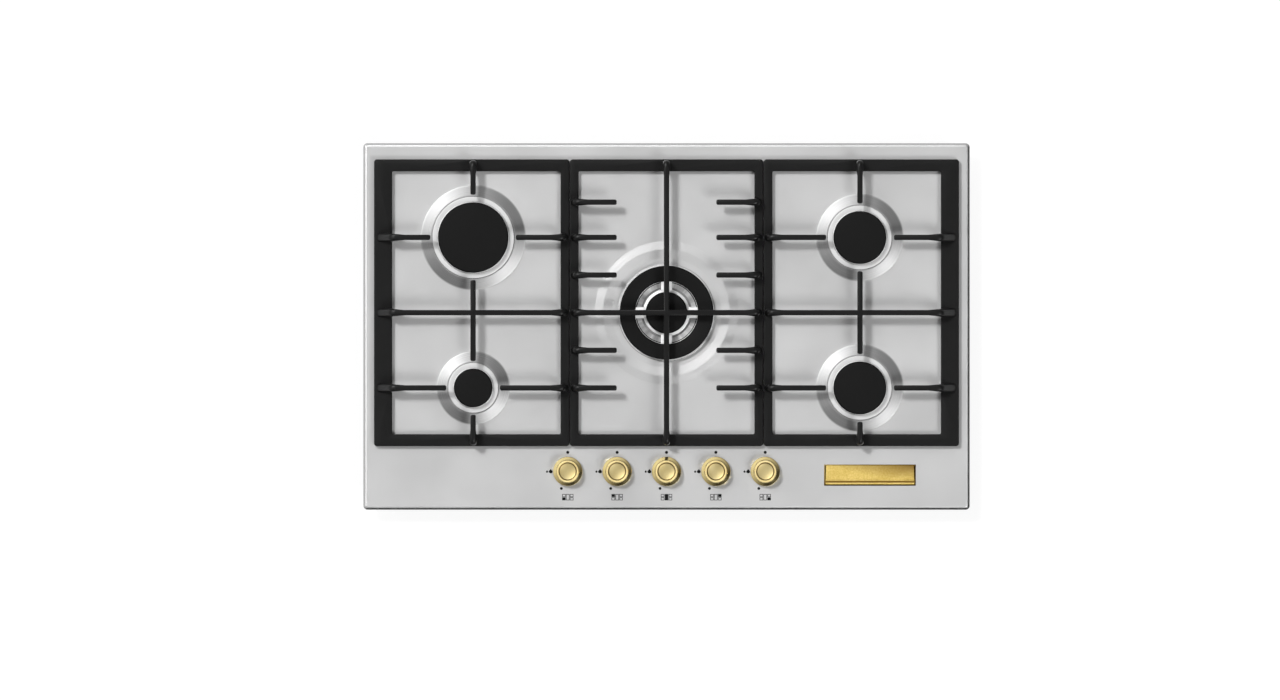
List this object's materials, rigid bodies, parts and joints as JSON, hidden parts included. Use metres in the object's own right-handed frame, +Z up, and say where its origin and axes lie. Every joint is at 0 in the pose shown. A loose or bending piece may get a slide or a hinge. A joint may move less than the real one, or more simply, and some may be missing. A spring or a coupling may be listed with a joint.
{
  "type": "gas cooktop",
  "caption": "Built-in stainless gas cooktop: corner burners round a triple-ring burner, cast-iron pan supports, brass knobs along the front, steel casing below.",
  "frame": {"origin": "centre of the seat on the worktop, at the worktop's top face", "axes": "+X to the right, +Y to the back, +Z up, seen by someone who stands at the knobs"},
  "size_m": [0.86, 0.52, 0.093],
  "materials": {
    "satin_stainless": "fine satin, straight grain",
    "seal_foam": "closed-cell foam",
    "polished_brass": "polished and lacquered",
    "plain_brass": "machined",
    "galvanised_sheet": "zinc coated, faint spangle",
    "zinc_steel": "zinc plated",
    "spindle_steel": "ground",
    "sensor_steel": "drawn",
    "cast_aluminium": "turned face",
    "crown_aluminium": "die cast, turned",
    "drawn_aluminium": "drawn tube",
    "black_enamel": "satin black vitreous enamel",
    "enamelled_iron": "matt black enamel",
    "black_rubber": "moulded",
    "black_plastic": "moulded",
    "white_ceramic": "glazed",
    "wire_insulation": "silicone sleeve"
  },
  "bodies": {
    "root": {"top_plate": "satin_stainless", "rim_seal": "seal_foam", "badge_plate": "polished_brass", "bottom_casing": "galvanised_sheet", "casing_nuts": "zinc_steel", "clamp_brackets": "galvanised_sheet", "clamp_screws": "zinc_steel", "burner_cup_rapid": "cast_aluminium", "burner_cup_small": "cast_aluminium", "burner_cup_medium_rear": "cast_aluminium", "burner_cup_medium_front": "cast_aluminium", "burner_cup_triple": "cast_aluminium", "lock_rings": "cast_aluminium", "injectors": "plain_brass", "electrodes": "white_ceramic", "temperature_sensors": "sensor_steel", "knob_seals": "black_rubber", "tap_bodies": "plain_brass", "safety_valves": "zinc_steel", "ignition_switches": "black_plastic", "gas_manifold": "zinc_steel", "manifold_brackets": "galvanised_sheet", "gas_inlet": "plain_brass", "inlet_lock_nut": "plain_brass", "gas_tubes": "drawn_aluminium", "ignition_module": "black_plastic", "ignition_wires": "wire_insulation", "cord_gland": "black_plastic"},
    "pan_support_left": {"pan_support_left": "enamelled_iron", "support_feet_left": "black_rubber"},
    "pan_support_middle": {"pan_support_middle": "enamelled_iron", "support_feet_middle": "black_rubber"},
    "pan_support_right": {"pan_support_right": "enamelled_iron", "support_feet_right": "black_rubber"},
    "crown_rapid": {"crown_rapid": "crown_aluminium"},
    "crown_small": {"crown_small": "crown_aluminium"},
    "crown_medium_rear": {"crown_medium_rear": "crown_aluminium"},
    "crown_medium_front": {"crown_medium_front": "crown_aluminium"},
    "crown_triple": {"crown_triple": "crown_aluminium"},
    "cap_rapid": {"cap_rapid": "black_enamel"},
    "cap_small": {"cap_small": "black_enamel"},
    "cap_medium_rear": {"cap_medium_rear": "black_enamel"},
    "cap_medium_front": {"cap_medium_front": "black_enamel"},
    "cap_triple_outer": {"cap_triple_outer": "black_enamel"},
    "cap_triple_inner": {"cap_triple_inner": "black_enamel"},
    "push_ring_1": {"push_ring_1": "black_plastic"},
    "knob_1": {"knob_1": "polished_brass", "spindle_1": "spindle_steel"},
    "push_ring_2": {"push_ring_2": "black_plastic"},
    "knob_2": {"knob_2": "polished_brass", "spindle_2": "spindle_steel"},
    "push_ring_3": {"push_ring_3": "black_plastic"},
    "knob_3": {"knob_3": "polished_brass", "spindle_3": "spindle_steel"},
    "push_ring_4": {"push_ring_4": "black_plastic"},
    "knob_4": {"knob_4": "polished_brass", "spindle_4": "spindle_steel"},
    "push_ring_5": {"push_ring_5": "black_plastic"},
    "knob_5": {"knob_5": "polished_brass", "spindle_5": "spindle_steel"}
  },
  "joints": [
    {"name": "pan_support_left_lift", "type": "slide", "parent": "root", "child": "pan_support_left", "axis": [0, 0, 1], "range_m": [0, 0.08]},
    {"name": "pan_support_middle_lift", "type": "slide", "parent": "root", "child": "pan_support_middle", "axis": [0, 0, 1], "range_m": [0, 0.08]},
    {"name": "pan_support_right_lift", "type": "slide", "parent": "root", "child": "pan_support_right", "axis": [0, 0, 1], "range_m": [0, 0.08]},
    {"name": "crown_rapid_lift", "type": "slide", "parent": "root", "child": "crown_rapid", "axis": [0, 0, 1], "range_m": [0, 0.03]},
    {"name": "crown_small_lift", "type": "slide", "parent": "root", "child": "crown_small", "axis": [0, 0, 1], "range_m": [0, 0.03]},
    {"name": "crown_medium_rear_lift", "type": "slide", "parent": "root", "child": "crown_medium_rear", "axis": [0, 0, 1], "range_m": [0, 0.03]},
    {"name": "crown_medium_front_lift", "type": "slide", "parent": "root", "child": "crown_medium_front", "axis": [0, 0, 1], "range_m": [0, 0.03]},
    {"name": "crown_triple_lift", "type": "slide", "parent": "root", "child": "crown_triple", "axis": [0, 0, 1], "range_m": [0, 0.006]},
    {"name": "cap_rapid_lift", "type": "slide", "parent": "crown_rapid", "child": "cap_rapid", "axis": [0, 0, 1], "range_m": [0, 0.03]},
    {"name": "cap_small_lift", "type": "slide", "parent": "crown_small", "child": "cap_small", "axis": [0, 0, 1], "range_m": [0, 0.03]},
    {"name": "cap_medium_rear_lift", "type": "slide", "parent": "crown_medium_rear", "child": "cap_medium_rear", "axis": [0, 0, 1], "range_m": [0, 0.03]},
    {"name": "cap_medium_front_lift", "type": "slide", "parent": "crown_medium_front", "child": "cap_medium_front", "axis": [0, 0, 1], "range_m": [0, 0.03]},
    {"name": "cap_triple_outer_lift", "type": "slide", "parent": "crown_triple", "child": "cap_triple_outer", "axis": [0, 0, 1], "range_m": [0, 0.006]},
    {"name": "cap_triple_inner_lift", "type": "slide", "parent": "crown_triple", "child": "cap_triple_inner", "axis": [0, 0, 1], "range_m": [0, 0.006]},
    {"name": "knob_1_push", "type": "slide", "parent": "root", "child": "push_ring_1", "axis": [0, 0, 1], "range_m": [-0.004, 0], "stiffness_N_per_m": 1000, "springref_m": 0.008},
    {"name": "knob_1_turn", "type": "hinge", "parent": "push_ring_1", "child": "knob_1", "pos_m": [-0.14, -0.2055, 0.02], "axis": [0, 0, 1], "range_deg": [0, 160]},
    {"name": "knob_2_push", "type": "slide", "parent": "root", "child": "push_ring_2", "axis": [0, 0, 1], "range_m": [-0.004, 0], "stiffness_N_per_m": 1000, "springref_m": 0.008},
    {"name": "knob_2_turn", "type": "hinge", "parent": "push_ring_2", "child": "knob_2", "pos_m": [-0.07, -0.2055, 0.02], "axis": [0, 0, 1], "range_deg": [0, 160]},
    {"name": "knob_3_push", "type": "slide", "parent": "root", "child": "push_ring_3", "axis": [0, 0, 1], "range_m": [-0.004, 0], "stiffness_N_per_m": 1000, "springref_m": 0.008},
    {"name": "knob_3_turn", "type": "hinge", "parent": "push_ring_3", "child": "knob_3", "pos_m": [0, -0.2055, 0.02], "axis": [0, 0, 1], "range_deg": [0, 160]},
    {"name": "knob_4_push", "type": "slide", "parent": "root", "child": "push_ring_4", "axis": [0, 0, 1], "range_m": [-0.004, 0], "stiffness_N_per_m": 1000, "springref_m": 0.008},
    {"name": "knob_4_turn", "type": "hinge", "parent": "push_ring_4", "child": "knob_4", "pos_m": [0.07, -0.2055, 0.02], "axis": [0, 0, 1], "range_deg": [0, 160]},
    {"name": "knob_5_push", "type": "slide", "parent": "root", "child": "push_ring_5", "axis": [0, 0, 1], "range_m": [-0.004, 0], "stiffness_N_per_m": 1000, "springref_m": 0.008},
    {"name": "knob_5_turn", "type": "hinge", "parent": "push_ring_5", "child": "knob_5", "pos_m": [0.14, -0.2055, 0.02], "axis": [0, 0, 1], "range_deg": [0, 160]}
  ]
}
